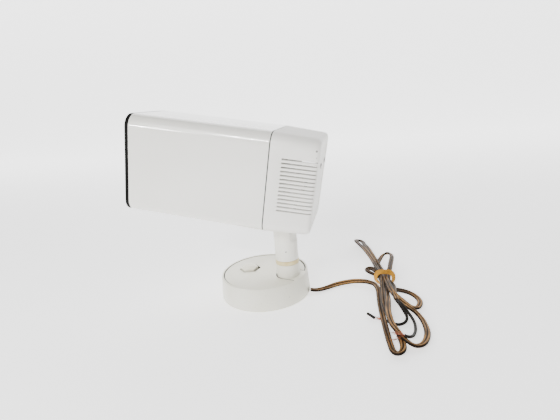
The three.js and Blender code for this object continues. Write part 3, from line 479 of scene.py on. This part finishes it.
def loose_strands(name, start, direction, length, spread, count, radius=0.16):
    """Fine copper strands that leave a cut end and splay."""
    whole = bmesh.new()
    start = Vector(start)
    direction = Vector(direction).normalized()
    for i in range(count):
        angle = 2.4 * i
        out = spread * math.sqrt((i + 0.5) / count)
        sideways = direction.cross(Vector((0, 0, 1))).normalized()
        over = sideways.cross(direction)
        away = sideways * math.cos(angle) + over * math.sin(angle)
        reach = length * (0.72 + 0.28 * math.sin(3.1 * i))
        curl = Vector((math.sin(1.7 * i), math.cos(2.3 * i), 0.4 * math.sin(i))) * spread * 0.7
        points = [
            start - direction * 1.5 + away * 0.35,
            start + away * 0.4,
            start + direction * reach * 0.35 + away * (0.5 + out * 0.3),
            start + direction * reach * 0.7 + away * out * 0.8 + curl * 0.4,
            start + direction * reach + away * out + curl,
        ]
        points = [Vector((p.x, p.y, max(p.z, 0.4))) for p in points]
        strand = sweep("strand", catmull_rom(points, 6), circle_section(radius, 6))
        whole.from_mesh(strand.data)
        bpy.data.objects.remove(strand)
    return finished(name, whole)


def add_cores():
    shade, body, copper_and_highlight = (0.012, 0.010, 0.008), (0.030, 0.024, 0.018), (0.16, 0.12, 0.07)
    dark = vinyl("core_vinyl", shade, body, copper_and_highlight, 0.5)
    copper = bright_copper()
    section = circle_section(CORE_RADIUS)
    for name, route, tuft in (
        ("core_a", CORE_A_ROUTE, {"direction": (-1, 0.35, 0.1), "length": 9.0, "spread": 1.4, "count": 11}),
        ("core_b", CORE_B_ROUTE, {"direction": (-1, 0.1, -0.25), "length": 10.0, "spread": 4.6, "count": 26}),
    ):
        line = evenly(catmull_rom(route, ROUTE_STEPS), CORE_SPACING)
        core = dress(sweep(name, line, section, floor=ABOVE_FLOOR), dark, "base", "flex_brown")
        strands = loose_strands(name + "_strands", line[-1], **tuft)
        dress(strands, copper, "base", "flex_brown")
        line_m = [p * MM for p in line]
        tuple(line_m[0])
        length_of(line_m)
    sleeve = sweep("core_a_sleeve", catmull_rom(SLEEVE_ROUTE, 6), section, floor=ABOVE_FLOOR)
    dress(sleeve, dark, "base", "flex_brown")
    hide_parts("bare_core_end")


# ---- Tie ----
# A flat rubber band round the middle of the hank. It flares towards its far edge, its top leans back,
# and it lies a little slack.
def tie_rubber():
    clean, soiled, rubbed = (0.50, 0.235, 0.022), (0.30, 0.13, 0.012), (0.24, 0.10, 0.01)
    finish = Finish("tie_rubber", Specular_IOR_Level=0.2)
    soil = finish.noise(160, 3).ramp(0.4, 0.75)
    colour = finish.mix(soil, clean, soiled)
    grain = finish.noise(1400, 2, finish.scaled(0.15, 1, 0.15))
    colour = finish.mix(finish.edges(0.0006) * 0.6, colour, rubbed)
    return finish.done(colour, 0.62 + soil * 0.15, grain, 0.00015)


def add_tie():
    low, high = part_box("cord_tie")
    centre = (low + high) / 2 / MM
    half = (high - low) / 2 / MM
    along_hank = Vector((0, 1, 0))
    flare = math.radians(40)
    half_width, half_thickness = 2.9, 0.6
    lean, slack, flatness, drop = 3.6, 0.4, 0.92, 0.7
    corner_steps = 12
    inset = half_width * math.sin(flare) + 0.7
    corner = half.z - inset - 0.3
    line = []
    for quarter, (sx, sz) in enumerate(((1, 1), (-1, 1), (-1, -1), (1, -1))):
        for i in range(corner_steps):
            angle = math.pi / 2 * (quarter + i / corner_steps)
            x = sx * (half.x - inset - corner) + corner * math.cos(angle)
            z = sz * (half.z - inset - corner) + corner * math.sin(angle)
            forward = lean * (z / half.z) + slack * math.sin(angle * 2 + 0.6)
            line.append(centre + Vector((x, forward, z * flatness - drop)))
    mesh = bmesh.new()
    rings = []
    for i, point in enumerate(line):
        ahead = (line[(i + 1) % len(line)] - line[i - 1]).normalized()
        away = ahead.cross(along_hank).normalized()
        if away.dot(point - centre) < 0:
            away = -away
        across = along_hank * math.cos(flare) + away * math.sin(flare)
        out = away * math.cos(flare) - along_hank * math.sin(flare)
        width = half_width - 0.1 + 0.12 * noise.noise(point * 0.4)
        section = [
            (-width, -half_thickness), (width, -half_thickness), (width + 0.1, 0),
            (width, half_thickness), (-width, half_thickness), (-width - 0.1, 0),
        ]
        rings.append([mesh.verts.new((point + across * a + out * b) * MM) for a, b in section])
    for i, ring in enumerate(rings):
        after = rings[(i + 1) % len(rings)]
        for j in range(len(ring)):
            k = (j + 1) % len(ring)
            mesh.faces.new((ring[j], ring[k], after[k], after[j]))
    bmesh.ops.recalc_face_normals(mesh, faces=mesh.faces)
    band = rounded(finished("cord_tie_band", mesh), 0.25, 2, 25)
    dress(band, tie_rubber(), "base", "tie_mustard")
    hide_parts("cord_tie")


add_tie()
add_flex()
add_cores()


# ---- Finishes of the lamp ----
# Each one is a function, and a piece finds its own by the slot that the record gives it. The seam, the
# chips and the gap round the plate are places in metres; the seam and the gap round the plate get painted
# shade.
HEAD_TILT = math.radians(11.2)
HEAD_LINE = Vector((math.cos(HEAD_TILT), 0, -math.sin(HEAD_TILT)))
HEAD_UP = Vector((math.sin(HEAD_TILT), 0, math.cos(HEAD_TILT)))
SEAM_PLACE = Vector((0.02555, -0.00878, 0.13458))
CHIP = SEAM_PLACE + HEAD_LINE * 0.0418 + HEAD_UP * 0.0358 + Vector((0, -0.0424, 0))
CHIP_LOWER = SEAM_PLACE + HEAD_LINE * 0.0425 + HEAD_UP * 0.0300 + Vector((0, -0.0424, 0))
STEM_CHIP = Vector((0.0311, -0.0210, 0.0555))


# Painted shade in the seam: the sleeve's end and the housing's start are darkened where the joint lies in
# shadow.
SLEEVE_END = (-0.00098, -0.00078)
HOUSING_START = (0.00012, 0.0003)
PLATE_GAP_HEIGHT = (0.0247, 0.0250)
PLATE_GAP_RADIUS = (0.0463, 0.0467)
SEAM_PAINTED_SHADE = (0.03, 0.028, 0.024)


def behind_seam(finish):
    """How far a place lies behind the joint of sleeve and housing, along the head."""
    return finish.vector_maths("DOT_PRODUCT", "Value", finish.place, HEAD_LINE) - SEAM_PLACE.dot(HEAD_LINE)


def sleeve_enamel():
    clean, aged, smudged = (0.80, 0.785, 0.735), (0.765, 0.75, 0.69), (0.60, 0.585, 0.53)
    rubbed, speck = (0.50, 0.48, 0.42), (0.42, 0.40, 0.36)
    finish = Finish("sleeve_enamel", Coat_Weight=0.8, Coat_Roughness=0.04)
    colour = finish.mix(finish.noise(9, 3).ramp(0.35, 0.7), clean, aged)
    smudge = finish.noise(38, 4).ramp(0.60, 0.78)
    colour = finish.mix(smudge * 0.16, colour, smudged)
    worn = finish.edges(0.0012) * finish.noise(300, 3).ramp(0.52, 0.68)
    colour = finish.mix(worn * 0.3, colour, rubbed)
    specks = finish.specks(150, 0.07) * finish.noise(30, 2).ramp(0.5, 0.66)
    colour = finish.mix(specks * 0.45, colour, speck)
    # painted shade on the sleeve's end, in the seam's shadow
    colour = finish.mix(behind_seam(finish).ramp(*SLEEVE_END), colour, SEAM_PAINTED_SHADE)
    scratches = finish.noise(420, 2, finish.scaled(0.05, 1, 1)).ramp(0.66, 0.72)
    rough = 0.16 + smudge * 0.10 + scratches * 0.05
    return finish.done(colour, rough, finish.noise(520, 2), 0.00004)


def housing_white():
    clean, aged = (0.80, 0.785, 0.745), (0.765, 0.75, 0.70)
    speck, rubbed = (0.28, 0.24, 0.18), (0.46, 0.43, 0.37)
    chipped, chipped_lower = (0.10, 0.09, 0.08), (0.16, 0.14, 0.12)
    finish = Finish("housing_white", Subsurface_Weight=0.04, Subsurface_Radius=(0.002, 0.002, 0.0018))
    cloud = finish.noise(16, 3)
    colour = finish.mix(cloud.ramp(0.35, 0.7), clean, aged)
    dirt = finish.specks(210, 0.10) * finish.noise(40, 2).ramp(0.5, 0.7)
    colour = finish.mix(dirt * 0.5, colour, speck)
    worn = finish.edges(0.0008) * finish.noise(400, 3).ramp(0.5, 0.66)
    colour = finish.mix(worn * 0.45, colour, rubbed)
    # painted shade on the housing's start, in the seam's shadow
    colour = finish.mix(1 - behind_seam(finish).ramp(*HOUSING_START), colour, SEAM_PAINTED_SHADE)
    colour = finish.mix(finish.spot(*CHIP, 0.0011) * 0.85, colour, chipped)
    colour = finish.mix(finish.spot(*CHIP_LOWER, 0.0008) * 0.7, colour, chipped_lower)
    return finish.done(colour, 0.38 + cloud * 0.12, finish.noise(1500, 2), 0.00005)


def base_white():
    clean, aged = (0.80, 0.785, 0.69), (0.75, 0.73, 0.62)
    speck, rubbed, shadow = (0.26, 0.21, 0.14), (0.45, 0.41, 0.33), (0.008, 0.0075, 0.007)
    finish = Finish("base_white", Subsurface_Weight=0.04, Subsurface_Radius=(0.002, 0.002, 0.0016))
    cloud = finish.noise(22, 3)
    colour = finish.mix(cloud.ramp(0.3, 0.7), clean, aged)
    dirt = finish.specks(170, 0.12) * finish.noise(36, 2).ramp(0.48, 0.7)
    colour = finish.mix(dirt * 0.55, colour, speck)
    worn = finish.edges(0.0008) * finish.noise(380, 3).ramp(0.5, 0.66)
    colour = finish.mix(worn * 0.5, colour, rubbed)
    below = 1 - finish.height().ramp(*PLATE_GAP_HEIGHT)
    inside = 1 - finish.from_axis().ramp(*PLATE_GAP_RADIUS)
    colour = finish.mix(below * inside, colour, shadow)
    return finish.done(colour, 0.30 + cloud * 0.15, finish.noise(1200, 2), 0.00006)


def stem_enamel():
    clean, aged, run = (0.81, 0.795, 0.72), (0.75, 0.73, 0.65), (0.52, 0.48, 0.39)
    chip, large_chip = (0.16, 0.13, 0.10), (0.09, 0.08, 0.07)
    finish = Finish("stem_enamel", Coat_Weight=0.2, Coat_Roughness=0.1)
    colour = finish.mix(finish.noise(30, 3).ramp(0.3, 0.7), clean, aged)
    runs = finish.noise(160, 3, finish.scaled(1, 1, 0.12)).ramp(0.55, 0.8)
    colour = finish.mix(runs * 0.3, colour, run)
    chips = finish.specks(120, 0.13) * finish.noise(70, 2).ramp(0.52, 0.62)
    colour = finish.mix(chips * 0.8, colour, chip)
    colour = finish.mix(finish.spot(*STEM_CHIP, 0.0009) * 0.85, colour, large_chip)
    return finish.done(colour, 0.28 + runs * 0.15, finish.noise(900, 2), 0.00005)


def plain(name, light, dark, roughness, metallic=0.0, scale=120, depth=0.00005, **constants):
    """A finish that wanders between two colours, for pieces that are mostly hidden."""
    def make():
        finish = Finish(name, Metallic=metallic, **constants)
        cloud = finish.noise(scale, 4)
        colour = finish.mix(cloud.ramp(0.3, 0.72), light, dark)
        worn = finish.edges(0.0005) * finish.noise(scale * 6, 2).ramp(0.45, 0.65)
        colour = finish.mix(worn * 0.4, colour, tuple(min(1, c * 1.6 + 0.004) for c in light))
        return finish.done(colour, roughness + cloud * 0.18, finish.noise(scale * 9, 2), depth)
    return make


def bulb_glass():
    frosted, silvered = (0.82, 0.82, 0.80), (0.72, 0.72, 0.73)
    finish = Finish("bulb_glass", Coat_Weight=0.6, Coat_Roughness=0.03)
    along = finish.at("ShaderNodeSeparateXYZ", "X", Vector=finish.place)
    silver = along.ramp(-0.078, -0.070)
    colour = finish.mix(silver, frosted, silvered)
    connect(finish.tree, finish.shader.inputs["Metallic"], silver)
    return finish.done(colour, 0.30 - silver * 0.16 + finish.noise(70, 2) * 0.06)


def lead_vinyl():
    # the first colour is painted shade on the core sides, the last a painted highlight along the crowns
    return vinyl("lead_vinyl", (0.010, 0.0055, 0.003), (0.070, 0.043, 0.023), (0.5, 0.3, 0.14), 0.6)


FINISHES = {
    "sleeve_enamel": sleeve_enamel,
    "housing_white": housing_white,
    "base_white": base_white,
    "stem_enamel": stem_enamel,
    "button_ivory": plain("button_ivory", (0.80, 0.78, 0.66), (0.74, 0.70, 0.57), 0.18),
    "swivel_nylon": plain(
        "swivel_nylon", (0.72, 0.62, 0.34), (0.60, 0.46, 0.20), 0.35, Subsurface_Weight=0.25,
        Subsurface_Radius=(0.004, 0.003, 0.001),
    ),
    "black_plastic": plain(
        "black_plastic", (0.002, 0.002, 0.002), (0.004, 0.004, 0.0035), 0.5, depth=0.00002,
        Specular_IOR_Level=0.08,
    ),
    "steel": plain("steel", (0.60, 0.60, 0.60), (0.48, 0.47, 0.46), 0.22, 1.0),
    "zinc": plain("zinc", (0.62, 0.60, 0.55), (0.44, 0.42, 0.37), 0.30, 1.0, 60),
    "brass": plain("brass", (0.72, 0.53, 0.24), (0.50, 0.35, 0.14), 0.26, 1.0, 80),
    "iron": plain("iron", (0.09, 0.085, 0.08), (0.05, 0.045, 0.04), 0.6, 0.4, 200, 0.0002),
    "felt": plain(
        "felt", (0.025, 0.045, 0.03), (0.015, 0.028, 0.02), 0.8, 0.0, 900, 0.0006, Sheen_Weight=0.5
    ),
    "bakelite": plain("bakelite", (0.030, 0.018, 0.013), (0.016, 0.010, 0.008), 0.2),
    "bulb_glass": bulb_glass,
    "flex_brown": lead_vinyl,
}
made = {slot: make() for slot, make in FINISHES.items()}


# ---- Screws ----
# Slotted heads on plain shanks. One tree makes them all: each point of the mesh under it is the middle
# of a head's outer face, and the point's axis is the way the head looks.
SIZE_TITLES = ("Head Radius", "Head Height", "Shank Radius", "Shank Length")


def screw_tree():
    tree = bpy.data.node_groups.new("slotted_screws", "GeometryNodeTree")
    tree.interface.new_socket("Geometry", in_out="INPUT", socket_type="NodeSocketGeometry")
    for name in SIZE_TITLES:
        tree.interface.new_socket(name, in_out="INPUT", socket_type="NodeSocketFloat")
    tree.interface.new_socket("Material", in_out="INPUT", socket_type="NodeSocketMaterial")
    tree.interface.new_socket("Geometry", in_out="OUTPUT", socket_type="NodeSocketGeometry")
    given = tree.nodes.new("NodeGroupInput").outputs

    def feed(slot, value):
        if isinstance(value, bpy.types.NodeSocket):
            tree.links.new(value, slot)
        else:
            slot.default_value = value

    def node(kind, output, **inputs):
        new_node = tree.nodes.new(kind)
        for name, value in inputs.items():
            feed(new_node.inputs[name.replace("_", " ")], value)
        return new_node.outputs[output]

    def maths(operation, first, second):
        new_node = tree.nodes.new("ShaderNodeMath")
        new_node.operation = operation
        feed(new_node.inputs[0], first)
        feed(new_node.inputs[1], second)
        return new_node.outputs[0]

    def lifted(shape, height):
        place = node("ShaderNodeCombineXYZ", 0, Z=height)
        return node("GeometryNodeTransform", 0, Geometry=shape, Translation=place)

    radius, height = given["Head Radius"], given["Head Height"]
    shank_radius, shank_length = given["Shank Radius"], given["Shank Length"]
    head = node("GeometryNodeMeshCylinder", 0, Vertices=32, Radius=radius, Depth=height)
    head = lifted(head, maths("MULTIPLY", height, -0.5))
    slot_length = maths("MULTIPLY", radius, 2.4)
    slot_width = maths("MULTIPLY", radius, 0.26)
    slot_size = node("ShaderNodeCombineXYZ", 0, X=slot_length, Y=slot_width, Z=height)
    slot = node("GeometryNodeMeshCube", 0, Size=slot_size)
    slotted = tree.nodes.new("GeometryNodeMeshBoolean")
    slotted.operation = "DIFFERENCE"
    tree.links.new(head, slotted.inputs["Mesh 1"])
    tree.links.new(slot, slotted.inputs["Mesh 2"])
    shank = node("GeometryNodeMeshCylinder", 0, Vertices=16, Radius=shank_radius, Depth=shank_length)
    shank_middle = maths("MULTIPLY", maths("ADD", shank_length, height), -0.5)
    shank = lifted(shank, maths("ADD", shank_middle, maths("MULTIPLY", height, -0.45)))
    screw = tree.nodes.new("GeometryNodeJoinGeometry")
    tree.links.new(slotted.outputs["Mesh"], screw.inputs[0])
    tree.links.new(shank, screw.inputs[0])
    axis = tree.nodes.new("GeometryNodeInputNamedAttribute")
    axis.data_type = "FLOAT_VECTOR"
    axis.inputs["Name"].default_value = "axis"
    facing = node("FunctionNodeAlignRotationToVector", 0, Vector=axis.outputs["Attribute"])
    facing.node.axis = "Z"
    points = node("GeometryNodeMeshToPoints", 0, Mesh=given["Geometry"])
    screws = node(
        "GeometryNodeInstanceOnPoints", 0, Points=points, Instance=screw.outputs[0], Rotation=facing
    )
    real = node("GeometryNodeRealizeInstances", 0, Geometry=screws)
    coated = node("GeometryNodeSetMaterial", 0, Geometry=real, Material=given["Material"])
    tree.links.new(coated, tree.nodes.new("NodeGroupOutput").inputs[0])
    return tree


def add_screws(tree, name, nodes, axis, sizes):
    """Screws in place of CAD nodes, their heads looking along the axis; sizes are in millimetres."""
    flat = 0.0001
    mesh = bmesh.new()
    layer = mesh.verts.layers.float_vector.new("axis")
    for node in nodes:
        cad = frame["nodes"][node]
        corners = [cad.matrix_world @ vertex.co for vertex in cad.data.vertices]
        top = max(corner.dot(axis) for corner in corners)
        face = [corner for corner in corners if corner.dot(axis) > top - flat]
        vertex = mesh.verts.new(sum(face, Vector()) / len(face))
        vertex[layer] = axis
    piece = finished(name, mesh)
    modifier = piece.modifiers.new("screws", "NODES")
    modifier.node_group = tree
    slot = SLOT_OF[nodes[0]]
    given = {title: size * MM for title, size in sizes.items()} | {"Material": made[slot]}
    for item in tree.interface.items_tree:
        if item.item_type == "SOCKET" and item.in_out == "INPUT" and item.name in given:
            modifier[item.identifier] = given[item.name]
    piece = rounded(applied(piece), 0.12, 2, 40)
    dress(piece, made[slot], frame["nodes"][nodes[0]]["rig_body"], slot)
    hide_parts(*nodes)


SCREWS = (
    ("panel_screw", 2, HEAD_LINE, (2.6, 0.9, 1.2, 3)),
    ("sleeve_screw", 2, -HEAD_UP, (2.8, 1.3, 1.3, 3.4)),
    ("chassis_screw", 4, -HEAD_LINE, (3.2, 1.8, 1.4, 10)),
    ("cover_screw", 3, Vector((0, 0, -1)), (3.1, 0.75, 1.4, 9)),
)
made_another_way = {"cord_lead", "cord_hank", "cord_tie", "bare_core_end"}
slotted_screws = screw_tree()
for kind, count, axis, sizes in SCREWS:
    nodes = [kind + "_" + str(i + 1) for i in range(count)]
    add_screws(slotted_screws, kind + "s", nodes, axis, dict(zip(SIZE_TITLES, sizes)))
    made_another_way.update(nodes)


# ---- Pieces whose shape the design already holds ----
# A copy of each node with its flats merged and its edges rounded, which stands for the node. The
# widths are in millimetres, and the pieces that aren't listed by name are mostly out of sight.
def refined(node, width, rings):
    """rings are places along the head, from the seam, where an edge loop keeps long flats shaded true."""
    same_place, same_plane = 3e-6, math.radians(1.2)
    mesh = bmesh.new()
    mesh.from_mesh(frame["nodes"][node].data)
    bmesh.ops.remove_doubles(mesh, verts=mesh.verts, dist=same_place)
    bmesh.ops.dissolve_limit(
        mesh, angle_limit=same_plane, verts=mesh.verts, edges=mesh.edges, delimit={"NORMAL"}
    )
    for distance in rings:
        everything = [*mesh.verts, *mesh.edges, *mesh.faces]
        place = SEAM_PLACE + HEAD_LINE * distance * MM
        bmesh.ops.bisect_plane(mesh, geom=everything, plane_co=place, plane_no=HEAD_LINE)
    piece = rounded(finished(node + "_look", mesh), width)
    dress(piece, made[SLOT_OF[node]], frame["nodes"][node]["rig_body"], SLOT_OF[node])
    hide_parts(node)


EDGE_WIDTHS = {
    "base_shell": 0.35, "base_plate": 0.4, "switch_button": 0.7, "swivel_ring": 0.3, "stem_tube": 0.4,
    "head_sleeve": 0.35, "front_rim": 0.8, "rear_housing": 0.3, "rear_panel": 0.3,
}
OTHER_EDGE_WIDTH = 0.15
RINGS = {"head_sleeve": (-136.8, -1.8), "front_rim": (-141, -139)}
for node in frame["nodes"]:
    if node not in made_another_way:
        refined(node, EDGE_WIDTHS.get(node, OTHER_EDGE_WIDTH), RINGS.get(node, ()))


# ---- Floor and light ----
# A white sweep that glows a little, a broad key from the front, a softer light from above, and two
# narrow strips whose reflections run along the upper near edge of the sleeve.
def add_floor():
    front, bend_start, bend_radius, top, half_length, bend_steps = -16, 1.6, 1.2, 5, 6, 12
    profile = [(front, 0), (bend_start, 0)]
    for i in range(1, bend_steps + 1):
        angle = math.pi / 2 * i / bend_steps
        rise = bend_radius - bend_radius * math.cos(angle)
        profile.append((bend_start + bend_radius * math.sin(angle), rise))
    profile.append((bend_start + bend_radius, top))
    mesh = bmesh.new()
    left, right = [[mesh.verts.new((x, y, z)) for y, z in profile] for x in (-half_length, half_length)]
    for i in range(len(profile) - 1):
        mesh.faces.new((left[i], right[i], right[i + 1], left[i + 1]))
    floor = finished("floor", mesh)
    finish = Finish("floor_white", Roughness=0.9, Specular_IOR_Level=0.1, Emission_Strength=2.3)
    behind = finish.at("ShaderNodeSeparateXYZ", "Y", Vector=finish.place).ramp(-0.1, 1.4)
    glow = finish.mix(behind, (0.52, 0.52, 0.52), (1, 1, 1))
    connect(finish.tree, finish.shader.inputs["Emission Color"], glow)
    colour = finish.mix(finish.noise(2, 2), (0.93, 0.93, 0.93), (0.95, 0.95, 0.95))
    floor.data.materials.append(finish.done(colour))


def add_lights():
    world = bpy.data.worlds.new("studio")
    world.use_nodes = True
    background = world.node_tree.nodes["Background"]
    background.inputs["Color"].default_value = (1, 1, 1, 1)
    background.inputs["Strength"].default_value = 0.3
    bpy.context.scene.world = world
    aim = Vector((0, -0.03, 0.13))
    for name, place, size, power in (
        ("key", (-0.35, -1.25, 0.95), (0.7, 0.7), 8.5),
        ("top", (-0.1, 0.1, 1.7), (1.4, 1.4), 0.8),
        ("left_strip", (-0.58, -0.95, 0.47), (0.30, 0.022), 7),
        ("right_strip", (-0.17, -0.95, 0.655), (0.20, 0.022), 5),
    ):
        data = bpy.data.lights.new(name, "AREA")
        data.shape = "RECTANGLE"
        data.size, data.size_y = size
        data.energy = power
        light = bpy.data.objects.new(name, data)
        light.location = place
        light.rotation_euler = (aim - Vector(place)).to_track_quat("-Z", "Y").to_euler()
        bpy.context.scene.collection.objects.link(light)


add_floor()
add_lights()
